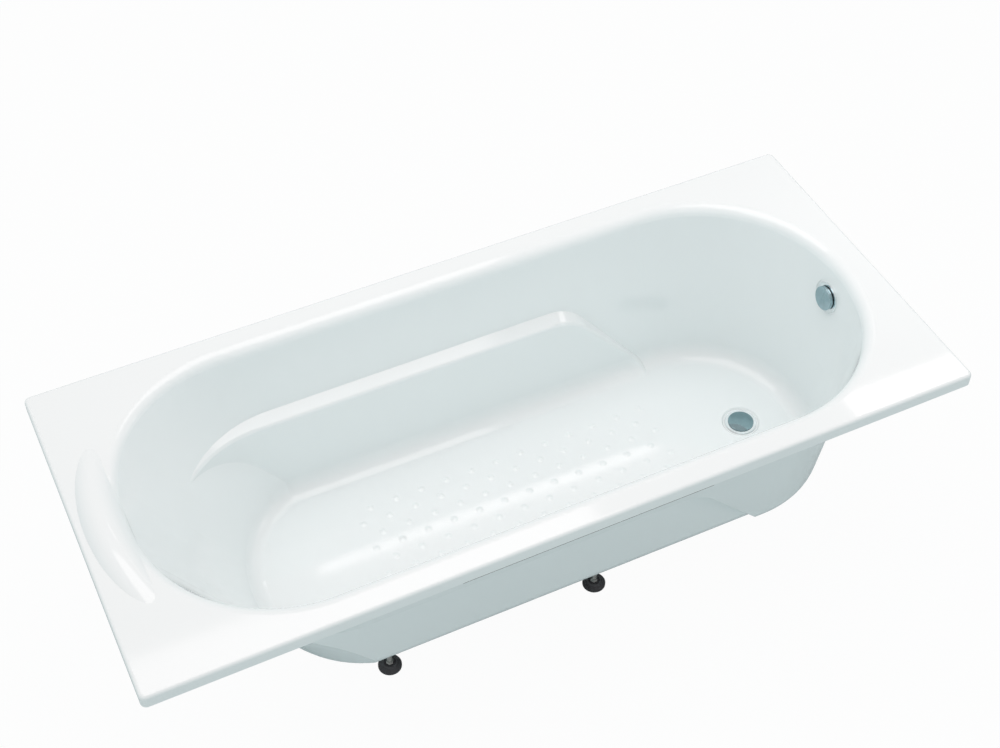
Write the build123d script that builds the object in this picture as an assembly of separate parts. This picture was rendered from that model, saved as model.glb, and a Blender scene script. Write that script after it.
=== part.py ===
# Oval drop-in bathtub: pressed steel shell, levelling feet, pop-up waste, overflow and trap.
# Millimetres. Origin on the floor below the rim's centre, +X towards the drain, +Z up.
from math import atan2, cos, degrees, pi, radians, sin, sqrt, tan
import os

from build123d import *

# Rim
RIM_LENGTH = 1700.0
RIM_WIDTH = 750.0
RIM_Z = 560.0
APRON = 28.0
SHEET = 2.5
RIM_CORNER = 12.0
RIM_FOLD = 7.0

# Basin, measured where the walls would meet the deck
SIDE_DECK = 62.0
SIDE_HALF = RIM_WIDTH / 2 - SIDE_DECK
SIDE_DRAFT = 8.5
HEAD_DECK = 85.0
HEAD_TIP = RIM_LENGTH / 2 - HEAD_DECK
HEAD_DRAFT = 29.5
FOOT_DECK = 72.0
FOOT_TIP = RIM_LENGTH / 2 - FOOT_DECK
FOOT_DRAFT = 6.3
DEPTH = 402.0
FALL = 0.37
ROLL_TOP = 25.0
ROLL_FLOOR = 40.0
HEAD_FULLNESS = (1.30, 0.90)
ROUND_FULLNESS = (1.12, 0.94)
LOFT_DEPTH = DEPTH + 28.0
BASIN_FLOOR = RIM_Z - DEPTH

# Lower well between the armrests
WELL_INSET = 40.7
WELL_HALF = SIDE_HALF - WELL_INSET
WELL_DRAFT = 4.06
WELL_HEAD_BACK = 353.0
WELL_HEAD_CENTRE = WELL_HEAD_BACK - HEAD_TIP
WELL_FOOT_BACK = 138.0
WELL_FOOT_END = FOOT_TIP - WELL_FOOT_BACK
WELL_TOP_DEPTH = 52.0
WELL_FLOOR_STEP = 0.15

# Armrest ledge
LEDGE_DEPTH = 172.0
LEDGE_TILT = 27.5
LEDGE_BEND_BACK = 478.0
LEDGE_BEND_X = FOOT_TIP - LEDGE_BEND_BACK
LEDGE_BEND_RADIUS = 110.0
LEDGE_SLOPE = 48.0
LEDGE_NOSE = 9.0
NOSE_SEARCH = 8.0
LEDGE_BAND = 120.0
LEDGE_REACH = 60.0
LEDGE_TURN = 72.0

# Neck roll, a tube sunk into the deck at the head
NECK_TUBE = 48.0
NECK_HEIGHT = 16.0
NECK_BACK = 50.0
NECK_X = NECK_BACK - RIM_LENGTH / 2
NECK_REACH = 190.0
NECK_DROP = 29.0

# Drain and overflow openings
DRAIN_BACK = 185.0
DRAIN_X = FOOT_TIP - DRAIN_BACK
DRAIN_HOLE = 26.0
DRAIN_RECESS = 39.0
DRAIN_RECESS_DEPTH = 3.5
RECESS_FLOOR = BASIN_FLOOR - DRAIN_RECESS_DEPTH
OVERFLOW_DEPTH = 87.0
OVERFLOW_HOLE = 26.0
OVERFLOW_FLAT = 38.5

# Clearances
RUN = 0.05
SLIP = 0.15
CLOSE = 0.5

# Waste under the drain; depths are counted from the recess in the basin's floor
FLANGE_R = 35.0
FLANGE_LIP = 2.0
LIP_BEVEL = 0.8
SPOKE_WIDTH = 3.0
SPOKE_HEIGHT = 5.0
GASKET_TOP = 1.0
GASKET_LOW = 3.0
TAIL_R = 25.0
TAIL_BORE = 22.5
TAIL_LENGTH = 18.5
SEAT_R = 27.5
BODY_FLANGE = 4.0
BODY_WALL = 3.4
CHAMBER_DEPTH = 62.0
SPIGOT_R = 20.0
SPIGOT_WALL = 2.6
SPIGOT_DEPTH = 88.5
CAP_R = 28.5
CAP_EDGE = 1.2
CAP_DOME = 2.6
PLUG_BOSS = 17.7
PLUG_BASE = -3.0
PLUG_KEEPER = 2.8
PLUG_KEEPER_TOP = -1.3
SEAL_FROM = -1.0
SEAL_LIP = 0.2
STEM_R = 4.0
STEM_TOP = 1.9
STEM_NUT = 4.0

# Lever box on the waste body, with the rocker that lifts the plug
BOX_FROM = 7.0
BOX_TO = 41.0
BOX_NEAR = -35.0
BOX_FAR = 17.0
BOX_TOP_DEPTH = 15.5
BOX_LOW_DEPTH = 55.5
BOX_WALL = 3.0
BOX_CORNER = 6.0
ROCKER_X = 19.0
ROCKER_DEPTH = 46.5
ROCKER_Z = RECESS_FLOOR - ROCKER_DEPTH
ROCKER_THICK = 6.0
ROCKER_SWING = 29.0
ROCKER_TIP_ARM = 19.6
ROCKER_CABLE_ARM = 16.0
ROCKER_END = 3.0
ROCKER_PIN_R = 2.0
ROCKER_HUB = 4.5
CABLE_EYE_R = 1.2

# Overflow; heights are counted from the wall's face towards the basin
OVERFLOW_CUP_R = 27.0
OVERFLOW_CUP_WALL = 3.0
OVERFLOW_CUP_DEPTH = 38.0
STUB_LENGTH = 18.0
SCREW_LUG = 12.0
BEZEL_R = 34.0
BEZEL_BORE = 15.0
BEZEL_THICK = 3.5
BEZEL_SCREW_AT = 20.5
SCREW_R = 2.0
SCREW_HOLE = 2.7
SCREW_HEAD_R = 5.0
SCREW_HEAD = 2.6
SCREW_LENGTH = 18.0
SCREW_SOCKET = 3.0
KNOB_R = 26.5
KNOB_FROM = 5.5
KNOB_FRONT = 12.5
KNOB_WALL = 2.6
KNOB_DOME = 1.4
KNOB_EDGE = 1.8
KNOB_SHAFT_R = 4.0
KNOB_SHAFT_END = 31.0
KNOB_TURN = 75.0
CRANK_ARM = 6.6
CRANK_WALL = 3.0
CRANK_THICK = 5.0
CRANK_PIN_R = 1.5

# Overflow pipe and pull cable
PIPE_R = 14.0
PIPE_BORE = 11.5
PIPE_BEHIND = 13.4
PIPE_X = FOOT_TIP + PIPE_BEHIND
PIPE_Y = -16.0
PIPE_DEPTH = 35.5
PIPE_Z = RECESS_FLOOR - PIPE_DEPTH
PIPE_BEND = 40.0
CABLE_R = 2.5
CABLE_Y = 10.0
CABLE_BEND = 67.0
GLAND_FLATS = 10.0
GLAND_LENGTH = 7.5

# Slip joint between a bell and a tube
BELL_WALL = 3.5
BELL_LENGTH = 14.0
BELL_STOP = 6.0
SEAL_LENGTH = 6.0
NUT_WALL = 3.4
NUT_LENGTH = 14.0
NUT_LIP = 4.0
NUT_RIBS = 12
NUT_RIB_R = 1.4

# Trap
TRAP_BEND = 25.0
TRAP_TOP_DEPTH = 94.5
TRAP_TOP = RECESS_FLOOR - TRAP_TOP_DEPTH
TRAP_LEG = TRAP_TOP - 2.0
TRAP_OUT_DEPTH = 62.5
TRAP_OUT_Z = RECESS_FLOOR - TRAP_OUT_DEPTH
TAIL_PUSH_FIT = 40.0
TAIL_PIPE = 29.5
TAIL_STOP_WIDTH = 2.5
TAIL_STOP_HEIGHT = 2.0
CLEAN_R = 11.0
CLEAN_WALL = 3.0
CLEAN_NECK = 5.0
CLEAN_CAP_R = 15.0
CLEAN_CAP = 4.5
CLEAN_GRIPS = 8

# Support frame; the rails' depth is counted from the basin's floor at the drain
RAIL_HEAD_X = WELL_HEAD_CENTRE + 82.0
RAIL_FOOT_X = DRAIN_X - 443.0
RAIL_X = (RAIL_HEAD_X, RAIL_FOOT_X)
FOOT_INSET = 163.0
FOOT_AT = SIDE_HALF - FOOT_INSET
RAIL_END = 30.0
RAIL_LENGTH = 2 * (FOOT_AT + RAIL_END)
RAIL_WIDTH = 40.0
RAIL_HEIGHT = 22.0
RAIL_SHEET = 2.0
RAIL_CORNER = 3.0
RAIL_DEPTH = 47.0
RAIL_TOP = BASIN_FLOOR - RAIL_DEPTH
BRACKET_TOP = BASIN_FLOOR - 6.0
BRACKET_SHEET = 2.5
BRACKET_WIDTH = 36.0
BRACKET_AT = 60.0
BRACKET_FOOT = 40.0
BRACKET_HEAD = 38.0
BOLT_AT = 82.0
BOLT_R = 4.0
BOLT_FLATS = 13.0
BOLT_HEAD = 5.3
BOLT_NUT = 6.5
BOLT_SPARE = 3.0
STUD_R = 5.0
STUD_SPARE = 41.0
STUD_TOP = RAIL_TOP + STUD_SPARE
STUD_FLATS = 17.0
STUD_HEX = 14.0
STUD_HEX_HEIGHT = 8.0
CARRIER_NUT = 8.0
JAM_NUT = 5.0
PAD_R = 25.0
PAD_HEIGHT = 14.0
PAD_SOCKET = 4.0
PAD_BRIM = 5.0
PAD_NECK_R = 13.0

# Mats and earthing lug
MAT = 3.0
MAT_CORNER = 12.0
MAT_TO_RAIL = 35.0
MAT_TO_DRAIN = 58.0
HEAD_FLOOR_MAT = (RAIL_HEAD_X + MAT_TO_RAIL, RAIL_FOOT_X - MAT_TO_RAIL)
FOOT_FLOOR_MAT = (RAIL_FOOT_X + MAT_TO_RAIL, DRAIN_X - MAT_TO_DRAIN)
FLOOR_MAT_HALF = 120.0
SIDE_MAT_X = (RAIL_HEAD_X + 100.0, RAIL_FOOT_X + 180.0)
SIDE_MAT_DEPTHS = (50.0, 150.0)
LUG_X = RAIL_FOOT_X + 250.0
LUG_DEPTH = 48.0
LUG_LENGTH = 22.0
LUG_WIDTH = 20.0
LUG_SHEET = 2.0
LUG_REACH = 26.0
LUG_HOLE = 17.0
LUG_SCREW_R = 3.0
LUG_SCREW_LENGTH = 12.0


def draft(angle, depth):
    return depth * tan(radians(angle))


def grown(angle, s):
    """sideways shift of a drafted wall that is moved out by s"""
    return s / cos(radians(angle))


def end_arcs(half, tip, fullness):
    """large end arc and corner arc that close an oval end, both tangent"""
    end_r = fullness[0] * half
    corner_r = fullness[1] * half
    end_c = tip - end_r
    corner_c = end_c + sqrt((end_r - corner_r) ** 2 - (half - corner_r) ** 2)
    k = end_r / (end_r - corner_r)
    join = (end_c + (corner_c - end_c) * k, (half - corner_r) * k)
    a = (atan2(join[1] - (half - corner_r), join[0] - corner_c) + pi / 2) / 2
    middle = (corner_c + corner_r * cos(a), half - corner_r + corner_r * sin(a))
    return corner_c, middle, join


def oval(half, head, foot, head_fullness, foot_fullness, z):
    hc, hm, hj = end_arcs(half, head, head_fullness)
    fc, fm, fj = end_arcs(half, foot, foot_fullness)
    far = [(-hc, half), (fc, half), fm, fj, (foot, 0)]
    pts = [Vector(x, y, z) for x, y in far]
    near = [Vector(p.X, -p.Y, z) for p in pts]
    left = [Vector(-hm[0], hm[1], z), Vector(-hj[0], hj[1], z)]
    left_near = [Vector(p.X, -p.Y, z) for p in left]
    return Wire([
        Edge.make_line(pts[0], pts[1]),
        Edge.make_three_point_arc(pts[1], pts[2], pts[3]),
        Edge.make_three_point_arc(pts[3], pts[4], near[3]),
        Edge.make_three_point_arc(near[3], near[2], near[1]),
        Edge.make_line(near[1], near[0]),
        Edge.make_three_point_arc(near[0], left_near[0], left_near[1]),
        Edge.make_three_point_arc(left_near[1], Vector(-head, 0, z), left[1]),
        Edge.make_three_point_arc(left[1], left[0], pts[0]),
    ])


def below_floor(s):
    """everything under the sloping floor"""
    slab = Box(3 * RIM_LENGTH, 2 * RIM_WIDTH, 200, align=(Align.CENTER, Align.CENTER, Align.MAX))
    return Pos(DRAIN_X, 0, BASIN_FLOOR - s) * Rotation(0, FALL, 0) * slab


def floor_z(x):
    return BASIN_FLOOR + (DRAIN_X - x) * tan(radians(FALL))


def well_solid(top, low):
    return Part(Solid.make_loft([top, low], ruled=True).wrapped)


def upper_well(s):
    """oval basin, grown by s, with its floor roll"""
    sections = []
    for depth, head_full in ((0.0, HEAD_FULLNESS), (LOFT_DEPTH, ROUND_FULLNESS)):
        sections.append(oval(
            SIDE_HALF - draft(SIDE_DRAFT, depth) + grown(SIDE_DRAFT, s),
            HEAD_TIP - draft(HEAD_DRAFT, depth) + grown(HEAD_DRAFT, s),
            FOOT_TIP - draft(FOOT_DRAFT, depth) + grown(FOOT_DRAFT, s),
            head_full, ROUND_FULLNESS, RIM_Z - depth))
    well = well_solid(*sections) - below_floor(s)
    return fillet(well.faces().sort_by(Axis.Z)[0].edges(), ROLL_FLOOR + s)


def lower_well(s):
    """narrower well between the armrests"""
    sections = []
    for depth in (WELL_TOP_DEPTH, LOFT_DEPTH):
        half = WELL_HALF - draft(WELL_DRAFT, depth) + grown(WELL_DRAFT, s)
        sections.append(oval(half, half - WELL_HEAD_CENTRE, WELL_FOOT_END + half,
                             ROUND_FULLNESS, ROUND_FULLNESS, RIM_Z - depth))
    well = well_solid(*sections) - Pos(0, 0, -WELL_FLOOR_STEP) * below_floor(s)
    return fillet(well.faces().sort_by(Axis.Z)[0].edges(), ROLL_FLOOR + s)


def ledge_profile(s):
    """side view of the space under one ledge, at the wall"""
    k = s / cos(radians(LEDGE_TILT))
    z0 = RIM_Z - LEDGE_DEPTH - k
    low = RIM_Z - LOFT_DEPTH - LEDGE_REACH
    slope = radians(LEDGE_SLOPE)
    bend = LEDGE_BEND_X - k * tan(slope / 2)
    tangent = (LEDGE_BEND_RADIUS - k) * tan(slope / 2)
    run = (z0 - low) / tan(slope)
    start = (bend - tangent, z0)
    over = (bend + tangent * cos(slope), z0 - tangent * sin(slope))
    with BuildSketch(Plane.XZ) as profile:
        with BuildLine():
            Polyline((WELL_HEAD_CENTRE, low), (WELL_HEAD_CENTRE, z0), start)
            TangentArc(start, over, tangent=(1, 0))
            Polyline(over, (bend + run, low), (WELL_HEAD_CENTRE, low))
        make_face()
    return profile.sketch


def ledge_wall():
    """half width of the upper wall at the ledge"""
    return SIDE_HALF - draft(SIDE_DRAFT, LEDGE_DEPTH)


def ledge_block(s):
    """space under the ledge of one armrest; the ledge falls towards the basin"""
    tilt = radians(LEDGE_TILT)
    inner = ledge_wall() - LEDGE_BAND
    outer = ledge_wall() + LEDGE_REACH
    base = ledge_profile(s).moved(Location((0, inner, -LEDGE_BAND * tan(tilt))))
    return extrude(base, amount=(outer - inner) / cos(tilt), dir=(0, cos(tilt), sin(tilt)))


def ledge_turn(s):
    """same ledge turned around the head end of the well"""
    tilt = radians(LEDGE_TILT)
    z0 = RIM_Z - LEDGE_DEPTH - s / cos(tilt)
    low = RIM_Z - LOFT_DEPTH - LEDGE_REACH
    inner = ledge_wall() - LEDGE_BAND
    outer = ledge_wall() + LEDGE_REACH
    fall = (z0 - LEDGE_BAND * tan(tilt), z0 + LEDGE_REACH * tan(tilt))
    line = Polyline((inner, low), (inner, fall[0]), (outer, fall[1]), (outer, low), close=True)
    plane = Plane(origin=(WELL_HEAD_CENTRE, 0, 0), x_dir=(0, 1, 0), z_dir=(1, 0, 0))
    face = plane * make_face(line)
    return revolve(face, Axis((WELL_HEAD_CENTRE, 0, 0), (0, 0, 1)), LEDGE_TURN)


def armrest(s):
    """body of the far armrest; s moves its faces back by the sheet"""
    block = ledge_block(s) + ledge_turn(s) - lower_well(s)
    nose = [e for e in block.edges() if on_nose(e, s)]
    return fillet(nose, LEDGE_NOSE - s)


def on_nose(edge, s):
    """edges where the ledge meets the lower well's wall"""
    for u in (0.15, 0.5, 0.85):
        p = edge @ u
        depth = RIM_Z - p.Z
        half = WELL_HALF - draft(WELL_DRAFT, depth) + grown(WELL_DRAFT, s)
        if p.X > WELL_HEAD_CENTRE:
            off = abs(p.Y - half)
        else:
            off = abs(sqrt((p.X - WELL_HEAD_CENTRE) ** 2 + p.Y ** 2) - half)
        if p.Y < WELL_HALF * cos(radians(0.9 * LEDGE_TURN)) or off > NOSE_SEARCH:
            return False
    a, b = edge @ 0.0, edge @ 1.0
    return abs(a.X - b.X) > LEDGE_NOSE / 2 and max(a.Z, b.Z) > floor_z(0) + 2 * ROLL_FLOOR


def neck_torus(tube):
    """tilted tube whose top stands above the deck at the head only"""
    centre_z = RIM_Z + NECK_HEIGHT - NECK_TUBE
    chord = sqrt(NECK_DROP ** 2 + NECK_HEIGHT ** 2)
    ring = (NECK_REACH ** 2 + chord ** 2) / (2 * chord)
    tilt = degrees(atan2(NECK_HEIGHT, NECK_DROP))
    torus = Torus(ring, tube)
    sector = Box(2 * ring, 3 * NECK_REACH, 4 * tube, align=(Align.MAX, Align.CENTER, Align.CENTER))
    sector = Pos(-ring * 0.7, 0, 0) * sector
    return Pos(NECK_X, 0, centre_z) * Rotation(0, tilt, 0) * Pos(ring, 0, 0) * (torus & sector)


def mirrored(shape):
    return mirror(shape, about=Plane.XZ)


def overflow_frame():
    """on the visible face of the foot wall, Z towards the basin, X down the wall"""
    a = radians(FOOT_DRAFT)
    point = (FOOT_TIP - draft(FOOT_DRAFT, OVERFLOW_DEPTH), 0, RIM_Z - OVERFLOW_DEPTH)
    return Plane(origin=point, x_dir=(-sin(a), 0, -cos(a)), z_dir=(-cos(a), 0, sin(a)))


def rolled_top(s):
    """upper well joined to a slab above the deck, with the deck's roll between them"""
    plate = Box(RIM_LENGTH - 8.0, RIM_WIDTH - 8.0, 60.0, align=(Align.CENTER, Align.CENTER, Align.MIN))
    body = upper_well(s) + Pos(0, 0, RIM_Z - s) * plate
    loop = [e for e in body.edges() if in_deck_loop(e, RIM_Z - s)]
    return fillet(loop, ROLL_TOP - s)


def in_deck_loop(edge, z):
    for u in (0.0, 0.5, 1.0):
        p = edge @ u
        if abs(p.Z - z) > 0.02 or abs(p.Y) > SIDE_HALF + 20 or abs(p.X) > FOOT_TIP + 20:
            return False
    return True


def basin(s):
    """whole basin grown by s, open into the slab above the deck"""
    body = rolled_top(s)
    rest = armrest(s)
    body = body - rest - mirrored(rest)
    drop = DRAIN_RECESS_DEPTH + s
    recess = Cone(DRAIN_RECESS + s, DRAIN_RECESS + s + drop + 2.0, drop + 2.0,
                  align=(Align.CENTER, Align.CENTER, Align.MIN))
    body += Pos(DRAIN_X, 0, BASIN_FLOOR - drop) * recess
    flat = Cylinder(OVERFLOW_FLAT + s, 24.0 + s, align=(Align.CENTER, Align.CENTER, Align.MIN))
    return body + overflow_frame().offset(-s).location * flat


def deck_block(s):
    height = APRON + (4.0 if s else 0.0)
    box = Box(RIM_LENGTH - 2 * s, RIM_WIDTH - 2 * s, height, align=(Align.CENTER, Align.CENTER, Align.MAX))
    box = fillet(box.edges().filter_by(Axis.Z), RIM_CORNER - s)
    box = fillet(box.faces().sort_by(Axis.Z)[-1].edges(), RIM_FOLD - s)
    return Pos(0, 0, RIM_Z - s) * box


def bath_shell():
    inner = basin(0.0)
    outer = basin(SHEET)
    below_deck = Pos(0, 0, RIM_Z - SHEET) * Box(3 * RIM_LENGTH, 2 * RIM_WIDTH, DEPTH * 2,
                                                 align=(Align.CENTER, Align.CENTER, Align.MAX))
    cup = outer & below_deck
    under = deck_block(SHEET) - outer
    roll = neck_torus(NECK_TUBE)
    hollow = neck_torus(NECK_TUBE - SHEET)
    over_deck = Pos(0, 0, RIM_Z - SHEET) * Box(RIM_LENGTH - 4.0, RIM_WIDTH - 4.0, 80.0,
                                                align=(Align.CENTER, Align.CENTER, Align.MIN))
    neck = roll & (over_deck + cup)
    shell = deck_block(0.0) + cup + neck
    shell = shell - under - hollow - (inner - roll)
    drain = Cylinder(DRAIN_HOLE, 60.0)
    shell = shell - Pos(DRAIN_X, 0, BASIN_FLOOR) * drain
    shell = shell - overflow_frame().location * Cylinder(OVERFLOW_HOLE, 60.0)
    return shell


def turned(*points):
    """body of revolution about Z from (radius, height) corners"""
    return revolve(Plane.XZ * make_face(Polyline(*points, close=True)), Axis.Z)


def disc(radius, height):
    """cylinder that stands on its plane"""
    return Cylinder(radius, height, align=(Align.CENTER, Align.CENTER, Align.MIN))


def ring(outer, inner, height):
    return disc(outer, height) - disc(inner, height)


def hexagon(flats, height):
    return extrude(RegularPolygon(flats / 2, 6, major_radius=False), height)


def block(x, y, z):
    """box between pairs of limits"""
    box = Box(x[1] - x[0], y[1] - y[0], z[1] - z[0], align=(Align.MIN, Align.MIN, Align.MIN))
    return Pos(x[0], y[0], z[0]) * box


def at_drain(shape):
    return Pos(DRAIN_X, 0, RECESS_FLOOR) * shape


def at_overflow(shape):
    return overflow_frame().location * shape


def spider(hub, bore, reach, width, height):
    """bearing hub on three spokes"""
    spokes = disc(hub, height)
    for k in range(3):
        spoke = block((0.0, reach), (-width / 2, width / 2), (0.0, height))
        spokes += Rotation(0, 0, 120 * k) * spoke
    return spokes - disc(bore, height)


def drain_gasket_upper():
    return at_drain(ring(FLANGE_R - 1.0, DRAIN_HOLE + CLOSE, GASKET_TOP))


def lip_top():
    return GASKET_TOP + FLANGE_LIP


def drain_flange():
    top = lip_top()
    body = turned(
        (TAIL_R, -TAIL_LENGTH), (TAIL_R, GASKET_TOP), (FLANGE_R, GASKET_TOP), (FLANGE_R, top - LIP_BEVEL),
        (FLANGE_R - LIP_BEVEL, top), (SEAT_R, top), (TAIL_BORE, GASKET_TOP - LIP_BEVEL),
        (TAIL_BORE, -TAIL_LENGTH))
    cross = spider(2 * STEM_R, STEM_R + RUN, TAIL_BORE + 1.0, SPOKE_WIDTH, SPOKE_HEIGHT)
    return at_drain(body + Pos(0, 0, 1.0 - TAIL_LENGTH) * cross)


def drain_gasket_lower():
    low = -SHEET - GASKET_LOW
    return at_drain(Pos(0, 0, low) * ring(FLANGE_R, DRAIN_HOLE + CLOSE, GASKET_LOW))


def chamber_r():
    return TAIL_R + 2 * RUN


def waste_body():
    top = -SHEET - GASKET_LOW
    wall = chamber_r() + BODY_WALL
    spigot_bore = SPIGOT_R - SPIGOT_WALL
    taper = CHAMBER_DEPTH + wall - SPIGOT_R
    outer = turned(
        (0.0, top), (FLANGE_R, top), (FLANGE_R, top - BODY_FLANGE), (wall, top - BODY_FLANGE),
        (wall, -CHAMBER_DEPTH), (SPIGOT_R, -taper), (SPIGOT_R, -SPIGOT_DEPTH), (0.0, -SPIGOT_DEPTH))
    inner = turned(
        (0.0, top), (chamber_r(), top), (chamber_r(), -CHAMBER_DEPTH), (spigot_bore, -taper - 1.0),
        (spigot_bore, -SPIGOT_DEPTH), (0.0, -SPIGOT_DEPTH))
    low = -BOX_LOW_DEPTH
    high = -BOX_TOP_DEPTH
    box = block((BOX_FROM, BOX_TO), (BOX_NEAR, BOX_FAR), (low, high))
    box = fillet(box.edges().filter_by(Axis.X), BOX_CORNER)
    room = block((BOX_FROM - BOX_WALL, BOX_TO - BOX_WALL), (BOX_NEAR + BOX_WALL, BOX_FAR - BOX_WALL),
                 (low + BOX_WALL, high - BOX_WALL))
    room = fillet(room.edges().filter_by(Axis.X), BOX_CORNER - BOX_WALL)
    body = outer + box + pipe_port() * bell(PIPE_R) - inner - room
    body -= pipe_port() * disc_both(PIPE_BORE, 2 * BOX_WALL)
    body -= Pos(BOX_TO, CABLE_Y, cable_low() - RECESS_FLOOR) * Rotation(0, 90, 0) * \
        disc_both(CABLE_R + RUN, 2 * BOX_WALL)
    return at_drain(body - rocker_pin_hole())


def disc_both(radius, length):
    return Cylinder(radius, 2 * length)


def pipe_port():
    """where the overflow pipe enters the lever box, Z along the pipe"""
    return Pos(BOX_TO, PIPE_Y, -PIPE_DEPTH) * Rotation(0, 90, 0)


def cable_low():
    """height of the pull cable at the lever box: the rocker's upper end"""
    return ROCKER_Z + ROCKER_CABLE_ARM * cos(radians(ROCKER_SWING / 2))


def bell(tube):
    return ring(tube + BELL_WALL, tube + SLIP, BELL_LENGTH)


def slip_seal(tube):
    return Pos(0, 0, BELL_LENGTH) * ring(tube + BELL_WALL - 2 * RUN, tube + RUN, SEAL_LENGTH)


def slip_nut(tube):
    """ribbed union nut over the bell's end, with a lip behind the seal"""
    inside = tube + BELL_WALL + RUN
    outside = inside + NUT_WALL
    start = BELL_LENGTH + SEAL_LENGTH - NUT_LENGTH + NUT_LIP
    nut = disc(outside, NUT_LENGTH)
    for k in range(NUT_RIBS):
        nut += Rotation(0, 0, 360 * k / NUT_RIBS) * Pos(outside, 0, 0) * disc(NUT_RIB_R, NUT_LENGTH - 1.0)
    nut = nut - disc(inside, NUT_LENGTH - NUT_LIP) - disc(tube + SLIP, NUT_LENGTH)
    return Pos(0, 0, start) * nut


def dome(radius, rise):
    """shallow cap of a sphere on its base plane"""
    ball = (radius ** 2 + rise ** 2) / (2 * rise)
    return Pos(0, 0, rise - ball) * Sphere(ball) & disc(radius, 2 * rise)


def plug_cap():
    base = lip_top() + CLOSE
    keeper = PLUG_BOSS + PLUG_KEEPER
    cap = turned((0.0, PLUG_BASE), (keeper, PLUG_BASE), (keeper, PLUG_KEEPER_TOP), (PLUG_BOSS, PLUG_KEEPER_TOP),
                 (PLUG_BOSS, base), (CAP_R, base), (CAP_R, base + CAP_EDGE), (0.0, base + CAP_EDGE))
    cap += Pos(0, 0, base + CAP_EDGE) * dome(CAP_R, CAP_DOME)
    return at_drain(cap - Pos(0, 0, PLUG_BASE) * disc(STEM_R + RUN, STEM_TOP + RUN * 2 - PLUG_BASE))


def plug_seal():
    inner = PLUG_BOSS + RUN
    throat = TAIL_BORE - CLOSE - 2 * RUN
    edge = SEAT_R - CLOSE - SEAL_LIP
    top = lip_top() + 2 * RUN
    return at_drain(turned(
        (inner, SEAL_FROM), (throat, SEAL_FROM), (throat, SEAL_LIP), (edge, top), (inner, top)))


def tip_angle(turn):
    """rocker's tip arm from the horizontal"""
    return radians(turn - ROCKER_SWING / 2)


def plug_stem():
    low = ROCKER_Z + ROCKER_TIP_ARM * sin(tip_angle(0.0)) + ROCKER_END + CLOSE - RECESS_FLOOR
    return at_drain(Pos(0, 0, low + STEM_R) * (disc(STEM_R, STEM_TOP - low - STEM_R) + Sphere(STEM_R)))


def plug_stem_nut():
    nut = hexagon(2.6 * STEM_R, STEM_NUT) - disc(STEM_R + RUN, STEM_NUT)
    return at_drain(Pos(0, 0, PLUG_BASE - STEM_NUT) * nut)


def arm(length, angle, thick, end_r, root_r):
    """flat lever in the XZ plane from the origin, centred on Y"""
    tip = (length * cos(angle), length * sin(angle))
    across = (-sin(angle), cos(angle))
    face = make_face(Polyline(
        (root_r * across[0], root_r * across[1]), (tip[0] + end_r * across[0], tip[1] + end_r * across[1]),
        (tip[0] - end_r * across[0], tip[1] - end_r * across[1]), (-root_r * across[0], -root_r * across[1]),
        close=True))
    return extrude(Plane.XZ * (face + Pos(*tip) * Circle(end_r)), thick / 2, both=True)


def at_rocker(shape):
    return Pos(DRAIN_X + ROCKER_X, 0, ROCKER_Z) * shape


def along_y(radius, near, far):
    """cylinder from y = near to y = far"""
    return Pos(0, near, 0) * Rotation(-90, 0, 0) * disc(radius, far - near)


def rocker():
    """bell crank: a tip arm under the stem and an upright arm for the cable"""
    thick = ROCKER_THICK
    tip = arm(ROCKER_TIP_ARM, pi + radians(ROCKER_SWING / 2), thick, ROCKER_END, ROCKER_END - 0.1)
    upright = arm(ROCKER_CABLE_ARM, pi / 2 + radians(ROCKER_SWING / 2), thick, ROCKER_END, ROCKER_HUB - 1.0)
    eye = along_y(CABLE_EYE_R, CABLE_Y - thick, CABLE_Y + thick)
    eye = Rotation(0, -ROCKER_SWING / 2, 0) * Pos(0, 0, ROCKER_CABLE_ARM) * eye
    body = along_y(ROCKER_HUB, -thick / 2, CABLE_Y + thick / 2) + tip + Pos(0, CABLE_Y, 0) * upright
    return at_rocker(body - along_y(ROCKER_PIN_R + RUN, -2 * thick, CABLE_Y + thick) - eye)


def pin_ends():
    return BOX_NEAR + 1.0, BOX_FAR - 1.0


def rocker_pin():
    near, far = pin_ends()
    return at_rocker(along_y(ROCKER_PIN_R, near, far))


def rocker_pin_hole():
    near, far = pin_ends()
    hole = along_y(ROCKER_PIN_R + RUN, near - RUN, far + RUN)
    return Pos(ROCKER_X, 0, -ROCKER_DEPTH) * hole


def overflow_gasket():
    return at_overflow(Pos(0, 0, -SHEET - GASKET_LOW) * ring(FLANGE_R, OVERFLOW_CUP_R + CLOSE, GASKET_LOW))


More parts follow.
